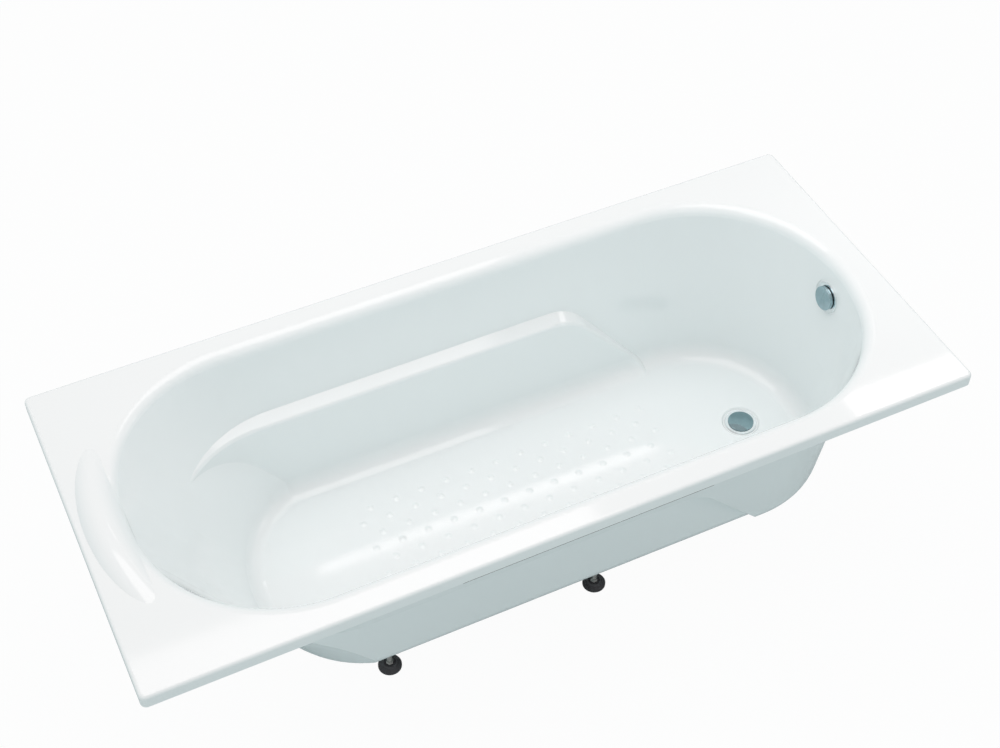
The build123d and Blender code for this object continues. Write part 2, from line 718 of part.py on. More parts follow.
def overflow_body():
    back = -SHEET - GASKET_LOW
    inner_r = OVERFLOW_CUP_R - OVERFLOW_CUP_WALL
    cup = Pos(0, 0, back - BODY_FLANGE) * disc(FLANGE_R, BODY_FLANGE)
    cup += Pos(0, 0, -OVERFLOW_CUP_DEPTH) * disc(OVERFLOW_CUP_R, OVERFLOW_CUP_DEPTH + back)
    room = Pos(0, 0, OVERFLOW_CUP_WALL - OVERFLOW_CUP_DEPTH) * disc(inner_r, OVERFLOW_CUP_DEPTH)
    cross = spider(2 * KNOB_SHAFT_R, KNOB_SHAFT_R + RUN, inner_r + 1.0, SPOKE_WIDTH, SPOKE_HEIGHT)
    cross = Pos(0, 0, back - SPOKE_HEIGHT - 1.0) * cross
    lugs = Part()
    for side in (-1, 1):
        lug = ring(2 * SCREW_R, SCREW_R + 2 * RUN, SCREW_LUG)
        lugs += Pos(0, side * BEZEL_SCREW_AT, back - SCREW_LUG - 2.0) * lug
    stub = Pos(PIPE_X, PIPE_Y, bell_root()) * disc(PIPE_R + BELL_WALL, STUB_LENGTH)
    port = Pos(PIPE_X, CABLE_Y, gland_top()) * disc(GLAND_FLATS / 2 + 1.0, STUB_LENGTH / 2)
    shape = at_overflow(cup) + stub + port - at_overflow(room)
    shape += at_overflow(cross + lugs)
    shape += Pos(PIPE_X, PIPE_Y, bell_root()) * Rotation(180, 0, 0) * bell(PIPE_R)
    shape -= Pos(PIPE_X, PIPE_Y, bell_root()) * disc(PIPE_BORE, STUB_LENGTH)
    return shape - Pos(PIPE_X, CABLE_Y, gland_top()) * disc(CABLE_R + RUN, STUB_LENGTH)


def bell_root():
    """height where the overflow cup's bell starts, level with the tilted cup's lowest edge"""
    a = radians(FOOT_DRAFT)
    return RIM_Z - OVERFLOW_DEPTH - OVERFLOW_CUP_DEPTH * sin(a) - OVERFLOW_CUP_R * cos(a)


def gland_top():
    return bell_root() - 2.0


def overflow_bezel():
    top = BEZEL_THICK
    body = turned((BEZEL_BORE, 0.0), (BEZEL_R, 0.0), (BEZEL_R, top - LIP_BEVEL), (BEZEL_R - LIP_BEVEL, top),
                  (BEZEL_BORE, top))
    for side in (-1, 1):
        body -= Pos(0, side * BEZEL_SCREW_AT, 0) * (disc(SCREW_HOLE, top) + cone_seat(RUN))
    return at_overflow(body)


def cone_seat(gap):
    """countersunk head of a bezel screw, flush with the bezel's front"""
    cone = Cone(SCREW_HEAD_R / 2 + gap, SCREW_HEAD_R + gap, SCREW_HEAD,
                align=(Align.CENTER, Align.CENTER, Align.MIN))
    return Pos(0, 0, BEZEL_THICK - SCREW_HEAD) * cone


def bezel_screws():
    screws = Part()
    for side in (-1, 1):
        socket = Pos(0, 0, BEZEL_THICK - 0.6 * SCREW_SOCKET) * hexagon(SCREW_SOCKET, SCREW_SOCKET)
        shank = Pos(0, 0, BEZEL_THICK - SCREW_HEAD / 2 - SCREW_LENGTH) * disc(SCREW_R, SCREW_LENGTH)
        screws += Pos(0, side * BEZEL_SCREW_AT, 0) * (cone_seat(0.0) + shank - socket)
    return at_overflow(screws)


def knob():
    """domed cap with a skirt, a hub and its shaft"""
    inner = KNOB_R - KNOB_WALL
    back = KNOB_FRONT - KNOB_WALL
    cap = Pos(0, 0, KNOB_FROM) * (disc(KNOB_R, KNOB_FRONT - KNOB_FROM) - disc(inner, back - KNOB_FROM))
    cap += Pos(0, 0, KNOB_FRONT) * dome(KNOB_R, KNOB_DOME)
    rounds = cap.edges().filter_by(GeomType.CIRCLE)
    front = [e for e in rounds if e.radius > inner + 0.1 and e.center().Z > KNOB_FRONT - 0.1]
    cap = fillet(front, KNOB_EDGE)
    hub = Pos(0, 0, BEZEL_THICK + 1.0) * disc(2 * KNOB_SHAFT_R, back - BEZEL_THICK)
    shaft = Pos(0, 0, -KNOB_SHAFT_END) * disc(KNOB_SHAFT_R, KNOB_SHAFT_END + back)
    return at_overflow(cap + hub + shaft)


def knob_crank():
    """arm on the inner end of the knob's shaft, for the cable"""
    angle = radians(-90 + KNOB_TURN / 2)
    tip = Pos(CRANK_ARM * cos(angle), CRANK_ARM * sin(angle), 0)
    body = disc(KNOB_SHAFT_R + CRANK_WALL, CRANK_THICK) + tip * disc(KNOB_SHAFT_R, CRANK_THICK)
    body -= disc(KNOB_SHAFT_R + RUN, CRANK_THICK)
    stud = tip * Pos(0, 0, CRANK_THICK) * disc(CRANK_PIN_R, KNOB_SHAFT_R)
    return at_overflow(Pos(0, 0, -KNOB_SHAFT_END) * (body + stud))


def bowden_cable():
    """pull cable from the overflow cup to the lever box, held at both glands"""
    top = (PIPE_X, CABLE_Y, gland_top() + 3.0)
    corner = (PIPE_X, CABLE_Y, cable_low())
    end = (DRAIN_X + BOX_TO - BOX_WALL, CABLE_Y, cable_low())
    path = FilletPolyline(top, corner, end, radius=[CABLE_BEND])
    start = Plane(origin=top, z_dir=(0, 0, -1))
    cable = sweep(start * Circle(CABLE_R), path=path)
    expected = pi * CABLE_R ** 2 * path.length
    print("cable: length", round(path.length, 1), "bend radius", CABLE_BEND,
          "volume against section times length", round(cable.volume / expected, 4))
    return cable


def cable_glands():
    nut = hexagon(GLAND_FLATS, GLAND_LENGTH) - disc(CABLE_R + RUN, GLAND_LENGTH)
    upper = Pos(PIPE_X, CABLE_Y, gland_top() - GLAND_LENGTH) * nut
    lower = Pos(DRAIN_X + BOX_TO, CABLE_Y, cable_low()) * Rotation(0, 90, 0) * nut
    return upper + lower


def overflow_pipe():
    top = (PIPE_X, PIPE_Y, bell_root() - BELL_LENGTH + BELL_STOP)
    corner = (PIPE_X, PIPE_Y, PIPE_Z)
    end = (DRAIN_X + BOX_TO + BELL_LENGTH - BELL_STOP, PIPE_Y, PIPE_Z)
    path = FilletPolyline(top, corner, end, radius=[PIPE_BEND])
    start = Plane(origin=top, z_dir=(0, 0, -1))
    return sweep(start * Circle(PIPE_R), path=path) - sweep(start * Circle(PIPE_BORE), path=path)


def pipe_ends():
    """places of the two slip joints of the overflow pipe, Z along the pipe"""
    upper = Pos(PIPE_X, PIPE_Y, bell_root()) * Rotation(180, 0, 0)
    lower = Pos(DRAIN_X, 0, RECESS_FLOOR) * pipe_port()
    return upper, lower


def pipe_nuts():
    upper, lower = pipe_ends()
    return upper * slip_nut(PIPE_R) + lower * slip_nut(PIPE_R)


def pipe_seals():
    upper, lower = pipe_ends()
    return upper * slip_seal(PIPE_R) + lower * slip_seal(PIPE_R)


def trap_path():
    """centre line of the trap, from its inlet to its outlet bell"""
    x0 = DRAIN_X
    x1 = x0 - 2 * TRAP_BEND
    x2 = x1 - TRAP_BEND
    up = TRAP_OUT_Z - TRAP_BEND
    lean = TRAP_BEND * (1 - cos(radians(45)))
    return Wire([
        Edge.make_line((x0, 0, TRAP_TOP), (x0, 0, TRAP_LEG)),
        Edge.make_three_point_arc((x0, 0, TRAP_LEG), ((x0 + x1) / 2, 0, TRAP_LEG - TRAP_BEND), (x1, 0, TRAP_LEG)),
        Edge.make_line((x1, 0, TRAP_LEG), (x1, 0, up)),
        Edge.make_three_point_arc((x1, 0, up), (x1 - lean, 0, TRAP_OUT_Z - lean), (x2, 0, TRAP_OUT_Z)),
    ])


def trap_ends():
    """places of the trap's two bells, Z out of the trap"""
    inlet = Pos(DRAIN_X, 0, TRAP_TOP)
    outlet = Pos(DRAIN_X - 3 * TRAP_BEND, 0, TRAP_OUT_Z) * Rotation(0, -90, 0)
    return inlet, outlet


def trap_bend():
    inlet, outlet = trap_ends()
    bore = SPIGOT_R - SPIGOT_WALL
    start = Plane(origin=(DRAIN_X, 0, TRAP_TOP), z_dir=(0, 0, -1))
    tube = sweep(start * Circle(SPIGOT_R), path=trap_path())
    hollow = sweep(start * Circle(bore), path=trap_path())
    reach = 2 * CLEAN_NECK + SPIGOT_WALL
    boss = clean_place() * disc(CLEAN_R + CLEAN_WALL, reach)
    hole = clean_place() * disc(CLEAN_R, reach)
    shape = tube + boss
    for place in (inlet, outlet):
        shape += place * disc(SPIGOT_R + BELL_WALL, BELL_LENGTH)
        shape -= place * Pos(0, 0, BELL_STOP) * disc(SPIGOT_R + SLIP, BELL_LENGTH)
        shape -= place * disc(bore, BELL_STOP)
    return shape - hollow - hole


def clean_place():
    """mouth of the cleaning opening under the trap's bend"""
    return Pos(DRAIN_X - TRAP_BEND, 0, TRAP_LEG - TRAP_BEND - SPIGOT_R - CLEAN_NECK)


def trap_cleaning_plug():
    cap = disc(CLEAN_CAP_R, CLEAN_CAP)
    for k in range(CLEAN_GRIPS):
        cap += Rotation(0, 0, 360 * k / CLEAN_GRIPS) * Pos(CLEAN_CAP_R, 0, 0) * disc(CLEAN_CAP / 3, CLEAN_CAP)
    shank = Pos(0, 0, CLEAN_CAP) * disc(CLEAN_R - RUN, CLEAN_NECK + SPIGOT_WALL - CLOSE)
    return clean_place() * Pos(0, 0, -CLEAN_CAP) * (cap + shank)


def trap_tail():
    """outlet pipe whose stop ring ends the push-fit spigot"""
    start = trap_ends()[1] * Pos(0, 0, BELL_STOP)
    pipe = disc(SPIGOT_R, TAIL_PIPE + TAIL_STOP_WIDTH + TAIL_PUSH_FIT)
    stop = Pos(0, 0, TAIL_PIPE) * disc(SPIGOT_R + TAIL_STOP_HEIGHT, TAIL_STOP_WIDTH)
    return start * (pipe + stop - disc(SPIGOT_R - SPIGOT_WALL, TAIL_PIPE + TAIL_STOP_WIDTH + TAIL_PUSH_FIT))


def cross_rail(x):
    """channel open downwards, lying across the bath, with holes for studs and bolts"""
    half = RAIL_LENGTH / 2
    rail = block((x - RAIL_WIDTH / 2, x + RAIL_WIDTH / 2), (-half, half), (RAIL_TOP - RAIL_HEIGHT, RAIL_TOP))
    rail = fillet([e for e in rail.edges().filter_by(Axis.Y) if e.center().Z > RAIL_TOP - 1.0], RAIL_CORNER)
    inside = block((x - RAIL_WIDTH / 2 + RAIL_SHEET, x + RAIL_WIDTH / 2 - RAIL_SHEET), (-half, half),
                   (RAIL_TOP - RAIL_HEIGHT, RAIL_TOP - RAIL_SHEET))
    rail -= inside
    for side in (-1, 1):
        rail -= Pos(x, side * FOOT_AT, RAIL_TOP) * disc_both(STUD_R + CLOSE, 2 * RAIL_SHEET)
        rail -= Pos(x, side * BOLT_AT, RAIL_TOP) * disc_both(BOLT_R + CLOSE, 2 * RAIL_SHEET)
    return rail


def bracket(x, side):
    """folded Z bracket between the rail and the bond pad"""
    near = BRACKET_AT
    half = BRACKET_WIDTH / 2
    foot = block((x - half, x + half), (near, near + BRACKET_FOOT), (RAIL_TOP, RAIL_TOP + BRACKET_SHEET))
    leg = block((x - half, x + half), (near, near + BRACKET_SHEET), (RAIL_TOP, BRACKET_TOP))
    head = block((x - half, x + half), (near + BRACKET_SHEET - BRACKET_HEAD, near + BRACKET_SHEET),
                 (BRACKET_TOP - BRACKET_SHEET, BRACKET_TOP))
    body = foot + leg + head
    body -= Pos(x, BOLT_AT, RAIL_TOP) * disc(BOLT_R + CLOSE, BRACKET_SHEET)
    return body if side > 0 else mirrored(body)


def bond_pad(x, side):
    """wedge of adhesive between a bracket and the sloping underside"""
    half = BRACKET_WIDTH / 2
    far = BRACKET_AT + BRACKET_SHEET
    body = block((x - half, x + half), (far - BRACKET_HEAD, far), (BRACKET_TOP, BRACKET_TOP + 30.0))
    body = body & below_floor(SHEET)
    return body if side > 0 else mirrored(body)


def corner_places(spacing):
    return [(x, side * spacing) for x in RAIL_X for side in (-1, 1)]


def rail_bolts():
    bolts = Part()
    for x, y in corner_places(BOLT_AT):
        seat = RAIL_TOP + BRACKET_SHEET
        bolts += Pos(x, y, seat) * hexagon(BOLT_FLATS, BOLT_HEAD)
        bolts += Pos(x, y, RAIL_TOP - RAIL_SHEET - BOLT_NUT - BOLT_SPARE) * \
            disc(BOLT_R, BOLT_SPARE + BOLT_NUT + RAIL_SHEET + BRACKET_SHEET)
    return bolts


def hex_nuts(places, flats, bore, height, base):
    nuts = Part()
    for x, y in places:
        nuts += Pos(x, y, base) * (hexagon(flats, height) - disc(bore, height))
    return nuts


def rail_nuts():
    base = RAIL_TOP - RAIL_SHEET - BOLT_NUT
    return hex_nuts(corner_places(BOLT_AT), BOLT_FLATS, BOLT_R + RUN, BOLT_NUT, base)


def foot_carrier_nuts():
    return hex_nuts(corner_places(FOOT_AT), STUD_FLATS, STUD_R + RUN, CARRIER_NUT, RAIL_TOP)


def foot_jam_nuts():
    base = RAIL_TOP - RAIL_SHEET - JAM_NUT
    return hex_nuts(corner_places(FOOT_AT), STUD_FLATS, STUD_R + RUN, JAM_NUT, base)


def foot_stud(x, y):
    """threaded stud with a hexagon above the pad"""
    shaft = Pos(x, y, PAD_SOCKET) * disc(STUD_R, STUD_TOP - PAD_SOCKET)
    shaft = chamfer(shaft.edges().sort_by(Axis.Z)[-1], 1.0)
    return shaft + Pos(x, y, PAD_HEIGHT) * hexagon(STUD_HEX, STUD_HEX_HEIGHT)


def foot_pad(x, y):
    body = turned((0.0, 0.0), (PAD_R - 1.0, 0.0), (PAD_R, 1.0), (PAD_R, PAD_BRIM),
                  (PAD_NECK_R + 3.0, 2 * PAD_BRIM), (PAD_NECK_R, PAD_HEIGHT), (0.0, PAD_HEIGHT))
    return Pos(x, y, 0) * (body - Pos(0, 0, PAD_SOCKET) * disc(STUD_R + RUN, PAD_HEIGHT))


def floor_mat(x):
    """damping sheet bonded under the sloping floor"""
    body = block(x, (-FLOOR_MAT_HALF, FLOOR_MAT_HALF), (BASIN_FLOOR - 10 * MAT, BASIN_FLOOR + 10 * MAT))
    body = fillet(body.edges().filter_by(Axis.Z), MAT_CORNER)
    return (body & below_floor(SHEET)) - below_floor(SHEET + MAT)


def on_far_wall(x, depth):
    """on the outside of the far long wall, X along the bath, Y down the wall, Z outwards"""
    a = radians(SIDE_DRAFT)
    wall = SIDE_HALF - draft(SIDE_DRAFT, depth) + grown(SIDE_DRAFT, SHEET)
    return Plane(origin=(x, wall, RIM_Z - depth), x_dir=(1, 0, 0), z_dir=(0, cos(a), -sin(a)))


def side_mat(side):
    """damping sheet bonded to the outside of a long wall"""
    plane = on_far_wall((SIDE_MAT_X[0] + SIDE_MAT_X[1]) / 2, (SIDE_MAT_DEPTHS[0] + SIDE_MAT_DEPTHS[1]) / 2)
    length = SIDE_MAT_X[1] - SIDE_MAT_X[0]
    height = SIDE_MAT_DEPTHS[1] - SIDE_MAT_DEPTHS[0]
    body = extrude(plane * RectangleRounded(length, height, MAT_CORNER), MAT)
    return body if side > 0 else mirrored(body)


def at_lug(shape):
    return on_far_wall(LUG_X, LUG_DEPTH).location * shape


def lug_hole(radius, length):
    """cylinder through the tab, from its inner side"""
    return Pos(0, 0, LUG_HOLE) * Rotation(0, 90, 0) * disc(radius, length)


def earth_lug():
    """folded tab welded to the far wall's outside"""
    across = (-LUG_WIDTH / 2, LUG_WIDTH / 2)
    plate = block((0.0, LUG_LENGTH), across, (0.0, LUG_SHEET))
    tab = block((0.0, LUG_SHEET), across, (0.0, LUG_REACH))
    return at_lug(plate + tab - lug_hole(LUG_SCREW_R + RUN, LUG_SHEET))


def earth_screw():
    head = Pos(0, 0, LUG_HOLE) * Rotation(0, -90, 0) * hexagon(10.0, 4.0)
    return at_lug(head + lug_hole(LUG_SCREW_R, LUG_SCREW_LENGTH))


def all_parts():
    inlet, outlet = trap_ends()
    parts = {
        "bath_shell": bath_shell(),
        "drain_gasket_upper": drain_gasket_upper(),
        "drain_flange": drain_flange(),
        "drain_gasket_lower": drain_gasket_lower(),
        "waste_body": waste_body(),
        "plug_cap": plug_cap(),
        "plug_seal": plug_seal(),
        "plug_stem": plug_stem(),
        "plug_stem_nut": plug_stem_nut(),
        "rocker": rocker(),
        "rocker_pin": rocker_pin(),
        "overflow_gasket": overflow_gasket(),
        "overflow_body": overflow_body(),
        "overflow_bezel": overflow_bezel(),
        "bezel_screws": bezel_screws(),
        "knob": knob(),
        "knob_crank": knob_crank(),
        "bowden_cable": bowden_cable(),
        "cable_glands": cable_glands(),
        "overflow_pipe": overflow_pipe(),
        "pipe_nuts": pipe_nuts(),
        "pipe_seals": pipe_seals(),
        "trap_bend": trap_bend(),
        "trap_inlet_nut": inlet * slip_nut(SPIGOT_R),
        "trap_inlet_seal": inlet * slip_seal(SPIGOT_R),
        "trap_outlet_nut": outlet * slip_nut(SPIGOT_R),
        "trap_outlet_seal": outlet * slip_seal(SPIGOT_R),
        "trap_tail": trap_tail(),
        "trap_cleaning_plug": trap_cleaning_plug(),
        "rail_bolts": rail_bolts(),
        "rail_nuts": rail_nuts(),
        "foot_carrier_nuts": foot_carrier_nuts(),
        "foot_jam_nuts": foot_jam_nuts(),
        "earth_lug": earth_lug(),
        "earth_screw": earth_screw(),
    }
    ends = ("head", "foot")
    sides = (("near", -1), ("far", 1))
    for end, x in zip(ends, RAIL_X):
        parts[f"cross_rail_{end}"] = cross_rail(x)
        for name, side in sides:
            parts[f"bracket_{end}_{name}"] = bracket(x, side)
            parts[f"bond_pad_{end}_{name}"] = bond_pad(x, side)
            parts[f"foot_stud_{end}_{name}"] = foot_stud(x, side * FOOT_AT)
            parts[f"foot_pad_{end}_{name}"] = foot_pad(x, side * FOOT_AT)
    for end, span in zip(ends, (HEAD_FLOOR_MAT, FOOT_FLOOR_MAT)):
        parts[f"floor_mat_{end}"] = floor_mat(span)
    for name, side in sides:
        parts[f"side_mat_{name}"] = side_mat(side)
    return parts


def main():
    os.makedirs("parts", exist_ok=True)
    for name, shape in all_parts().items():
        export_step(shape, f"parts/{name}.step")


if __name__ == "__main__":
    main()
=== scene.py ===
import math

import bmesh
import bpy
from bpy.props import FloatProperty, FloatVectorProperty, IntProperty, PointerProperty
from mathutils import Euler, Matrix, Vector


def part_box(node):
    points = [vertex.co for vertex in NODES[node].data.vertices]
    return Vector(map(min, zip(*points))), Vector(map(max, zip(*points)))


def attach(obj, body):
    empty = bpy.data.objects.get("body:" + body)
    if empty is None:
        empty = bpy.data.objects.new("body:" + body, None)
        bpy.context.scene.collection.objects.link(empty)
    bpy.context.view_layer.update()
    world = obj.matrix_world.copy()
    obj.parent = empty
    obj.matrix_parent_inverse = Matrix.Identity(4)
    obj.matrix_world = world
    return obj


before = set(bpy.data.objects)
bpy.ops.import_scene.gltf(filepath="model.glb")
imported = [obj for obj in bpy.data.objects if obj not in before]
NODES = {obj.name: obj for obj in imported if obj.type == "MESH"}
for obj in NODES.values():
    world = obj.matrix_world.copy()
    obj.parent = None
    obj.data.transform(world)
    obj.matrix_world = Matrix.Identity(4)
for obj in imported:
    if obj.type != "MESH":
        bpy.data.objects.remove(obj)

bl_info = {
    "name": "Drop-in bath finish",
    "version": (1, 0, 0),
    "blender": (4, 5, 0),
    "location": "View3D > Sidebar > Bath",
    "description": "Enamel, fittings, light and camera for a pressed steel bath on its packed frame",
    "category": "Object",
}

MM = 0.001
WHITE = (1.0, 1.0, 1.0, 1.0)
GLOSS_SPREAD = 0.25  # share by which the enamel's roughness wanders up and down
WAVE_SPAN = math.pi / 10.0  # length of one wave of the wave texture at a scale of 1
MIX_LOW, MIX_HIGH, MIX_RESULT = 6, 7, 2  # colour sockets of a mix node
STUD_RINGS, STUD_SIDES = 6, 20
STUD_SINK = 0.02 * MM  # how far a stud's edge lies below the enamel
SEARCH_DROP = 50 * MM  # how far below the rim the search for the basin's floor starts
SENSOR_WIDTH = 36.0
CLIP_START, CLIP_END = 0.05, 200.0


class EnamelSettings(bpy.types.PropertyGroup):
    """White vitreous enamel of the pressed shell."""

    colour: FloatVectorProperty(
        name="Colour", description="Enamel colour", subtype="COLOR", size=4, min=0, max=1,
        default=(0.862, 0.94, 0.945, 1.0))
    roughness: FloatProperty(
        name="Roughness", description="Gloss of the enamel", default=0.08, min=0, max=1)
    peel: FloatProperty(
        name="Peel", description="Strength of the faint orange peel", default=0.04, min=0, max=1)


class StudSettings(bpy.types.PropertyGroup):
    """Anti-slip studs on the basin's floor."""

    pitch: FloatProperty(
        name="Pitch", description="Distance of studs along a row", default=59.5 * MM, unit="LENGTH")
    row_pitch: FloatProperty(
        name="Row pitch", description="Distance from row to row", default=35.0 * MM, unit="LENGTH")
    first: FloatProperty(
        name="First stud", description="X of the first stud in a full row", default=-277.0 * MM,
        unit="LENGTH")
    line: FloatProperty(
        name="Line", description="Y of the row that shows most", default=25.0 * MM, unit="LENGTH")
    count: IntProperty(name="Studs", description="Studs in a row", default=12, min=1)
    rows_near: IntProperty(
        name="Near rows", description="Rows on the near side of that row", default=4, min=0)
    rows_far: IntProperty(
        name="Far rows", description="Rows on the far side of that row", default=3, min=0)
    radius: FloatProperty(
        name="Radius", description="Radius of a stud", default=9.5 * MM, unit="LENGTH")
    height: FloatProperty(
        name="Height", description="Height of a stud", default=1.7 * MM, unit="LENGTH")


class MetalSettings(bpy.types.PropertyGroup):
    """Metals of the fittings and the support."""

    # painted reflection: the knob's chrome is darkened and tinted teal to stand in for the darker
    # surroundings it reflects
    knob_chrome: FloatVectorProperty(
        name="Knob chrome", description="Tint of the knob's smoked chrome", subtype="COLOR",
        size=4, min=0, max=1, default=(0.37, 0.50, 0.54, 1.0))
    # painted reflection: the plug's chrome is darkened and tinted teal to stand in for the darker
    # surroundings it reflects, so it shows darker than the bright ring round it
    plug_chrome: FloatVectorProperty(
        name="Plug chrome", description="Tint of the plug's smoked chrome", subtype="COLOR",
        size=4, min=0, max=1, default=(0.25, 0.37, 0.40, 1.0))
    ring_chrome: FloatVectorProperty(
        name="Ring chrome", description="Tint of the bright rings round plug and knob",
        subtype="COLOR", size=4, min=0, max=1, default=(0.84, 0.89, 0.90, 1.0))
    stainless: FloatVectorProperty(
        name="Stainless", description="Tint of stainless steel", subtype="COLOR", size=4,
        min=0, max=1, default=(0.55, 0.55, 0.54, 1.0))
    zinc: FloatVectorProperty(
        name="Zinc plate", description="Tint of zinc plate", subtype="COLOR", size=4,
        min=0, max=1, default=(0.56, 0.57, 0.55, 1.0))
    galvanised: FloatVectorProperty(
        name="Galvanised", description="Tint of galvanised sheet", subtype="COLOR", size=4,
        min=0, max=1, default=(0.50, 0.52, 0.53, 1.0))
    thread_pitch: FloatProperty(
        name="Thread", description="Pitch of the screw threads", default=1.5 * MM, unit="LENGTH")


class PlasticSettings(bpy.types.PropertyGroup):
    """Plastics, rubber and damping sheet."""

    white: FloatVectorProperty(
        name="White plastic", description="Colour of waste and trap", subtype="COLOR", size=4,
        min=0, max=1, default=(0.78, 0.79, 0.77, 1.0))
    grey: FloatVectorProperty(
        name="Grey plastic", description="Colour of rocker, glands and cable", subtype="COLOR",
        size=4, min=0, max=1, default=(0.20, 0.21, 0.22, 1.0))
    black: FloatVectorProperty(
        name="Black plastic", description="Colour of the foot pads", subtype="COLOR", size=4,
        min=0, max=1, default=(0.045, 0.045, 0.05, 1.0))
    rubber: FloatVectorProperty(
        name="Rubber", description="Colour of the gaskets", subtype="COLOR", size=4,
        min=0, max=1, default=(0.035, 0.035, 0.035, 1.0))
    bitumen: FloatVectorProperty(
        name="Bitumen", description="Colour of the damping sheet", subtype="COLOR", size=4,
        min=0, max=1, default=(0.06, 0.057, 0.052, 1.0))
    adhesive: FloatVectorProperty(
        name="Adhesive", description="Colour of the bond pads", subtype="COLOR", size=4,
        min=0, max=1, default=(0.50, 0.47, 0.41, 1.0))


class StageSettings(bpy.types.PropertyGroup):
    """Floor, light and camera."""

    floor_size: FloatProperty(
        name="Floor", description="Side of the floor", default=30.0, unit="LENGTH")
    floor_colour: FloatVectorProperty(
        name="Floor colour", description="Pale floor", subtype="COLOR", size=4, min=0, max=1,
        default=(0.62, 0.72, 0.73, 1.0))
    floor_white: FloatProperty(
        name="Floor white", description="Share of plain white in the floor that the camera sees",
        default=0.96, min=0, max=1)
    sky: FloatVectorProperty(
        name="Sky", description="Light from above", subtype="COLOR", size=4, min=0, max=2,
        default=(0.832, 0.758, 0.752, 1.0))
    sky_height: FloatProperty(
        name="Sky height", description="Sine of the angle above the horizon where the sky is full",
        default=0.75, min=0.01, max=1)
    horizon_head: FloatVectorProperty(
        name="Horizon, head", description="Light from the side of the head end",
        subtype="COLOR", size=4, min=0, max=2, default=(0.63, 0.73, 0.745, 1.0))
    horizon_foot: FloatVectorProperty(
        name="Horizon, foot", description="Light from the side of the foot end",
        subtype="COLOR", size=4, min=0, max=2, default=(0.42, 0.505, 0.52, 1.0))
    lamp_power: FloatProperty(
        name="Lamp", description="Power of the overhead lamp", default=22.5, min=0)
    lamp_size: FloatProperty(
        name="Lamp size", description="Side of the overhead lamp", default=2.2, unit="LENGTH")
    lamp_colour: FloatVectorProperty(
        name="Lamp colour", description="Tint of all lamps", subtype="COLOR", size=4,
        min=0, max=1, default=(1.0, 0.915, 0.908, 1.0))
    lamp_place: FloatVectorProperty(
        name="Lamp place", description="Place of the overhead lamp", subtype="TRANSLATION",
        default=(-0.1, 0.3, 3.1))
    strip_power: FloatProperty(
        name="Strip", description="Power of the strip that picks out a row of studs",
        default=0.55, min=0)
    strip_place: FloatVectorProperty(
        name="Strip place", description="Middle of the strip", subtype="TRANSLATION",
        default=(0.85, 1.755, 2.6))
    strip_length: FloatProperty(
        name="Strip length", description="Length of the strip", default=1.5, unit="LENGTH")
    strip_width: FloatProperty(
        name="Strip width", description="Width of the strip", default=0.03, unit="LENGTH")
    foot_power: FloatProperty(
        name="Foot lamp", description="Power of the small lamp beyond the foot end",
        default=1.1, min=0)
    foot_size: FloatProperty(
        name="Foot lamp size", description="Side of the small lamp", default=0.4, unit="LENGTH")
    foot_place: FloatVectorProperty(
        name="Foot lamp place", description="Place of the small lamp", subtype="TRANSLATION",
        default=(1.25, 0.0, 1.3))
    camera_place: FloatVectorProperty(
        name="Camera place", description="Camera of the photograph", subtype="TRANSLATION",
        default=(-0.95378, -1.97257, 2.97801))
    camera_turn: FloatProperty(
        name="Camera turn", description="Turn from +Y towards +X",
        default=math.radians(25.726), unit="ROTATION")
    camera_fall: FloatProperty(
        name="Camera fall", description="Angle below the horizon",
        default=math.radians(47.407), unit="ROTATION")
    focal: FloatProperty(
        name="Focal length", description="Lens for a 36 mm wide sensor", default=60.21)


def settings():
    return bpy.context.scene.bath_finish


def shade(colour, factor):
    """same colour, lighter or darker"""
    return (*[min(1.0, c * factor) for c in colour[:3]], 1.0)


class Shader:
    """Small builder for one procedural material."""

    def __init__(self, name, metallic=0.0):
        self.material = bpy.data.materials.new(name)
        self.material.use_nodes = True
        self.tree = self.material.node_tree
        self.surface = self.tree.nodes["Principled BSDF"]
        self.place = self.node("ShaderNodeTexCoord").outputs["Object"]
        self.set("Metallic", metallic)

    def node(self, kind, **values):
        made = self.tree.nodes.new(kind)
        for key, value in values.items():
            setattr(made, key, value)
        return made

    def join(self, source, target):
        self.tree.links.new(source, target)

    def set(self, socket, value):
        self.surface.inputs[socket].default_value = value

    def noise(self, scale, detail=3.0, roughness=0.5, stretch=None):
        place = self.place
        if stretch:
            mapping = self.node("ShaderNodeMapping")
            mapping.inputs["Scale"].default_value = stretch
            self.join(place, mapping.inputs["Vector"])
            place = mapping.outputs["Vector"]
        made = self.node("ShaderNodeTexNoise")
        made.inputs["Scale"].default_value = scale
        made.inputs["Detail"].default_value = detail
        made.inputs["Roughness"].default_value = roughness
        self.join(place, made.inputs["Vector"])
        return made.outputs["Fac"]

    def cells(self, scale):
        made = self.node("ShaderNodeTexVoronoi")
        made.inputs["Scale"].default_value = scale
        self.join(self.place, made.inputs["Vector"])
        return made

    def mottle(self, factor, colour, dark, light, start=0.3, end=0.7):
        """base colour that wanders from a darker to a lighter shade"""
        made = self.node("ShaderNodeValToRGB")
        first, last = made.color_ramp.elements
        first.position, first.color = start, shade(colour, dark)
        last.position, last.color = end, shade(colour, light)
        self.join(factor, made.inputs["Fac"])
        self.join(made.outputs["Color"], self.surface.inputs["Base Color"])

    def gloss(self, factor, low, high):
        """roughness that wanders from low to high"""
        made = self.node("ShaderNodeMapRange")
        made.inputs["To Min"].default_value = low
        made.inputs["To Max"].default_value = high
        self.join(factor, made.inputs["Value"])
        self.join(made.outputs["Result"], self.surface.inputs["Roughness"])

    def relief(self, height, strength, depth):
        """fine unevenness, as a bump"""
        made = self.node("ShaderNodeBump")
        made.inputs["Strength"].default_value = strength
        made.inputs["Distance"].default_value = depth
        self.join(height, made.inputs["Height"])
        self.join(made.outputs["Normal"], self.surface.inputs["Normal"])


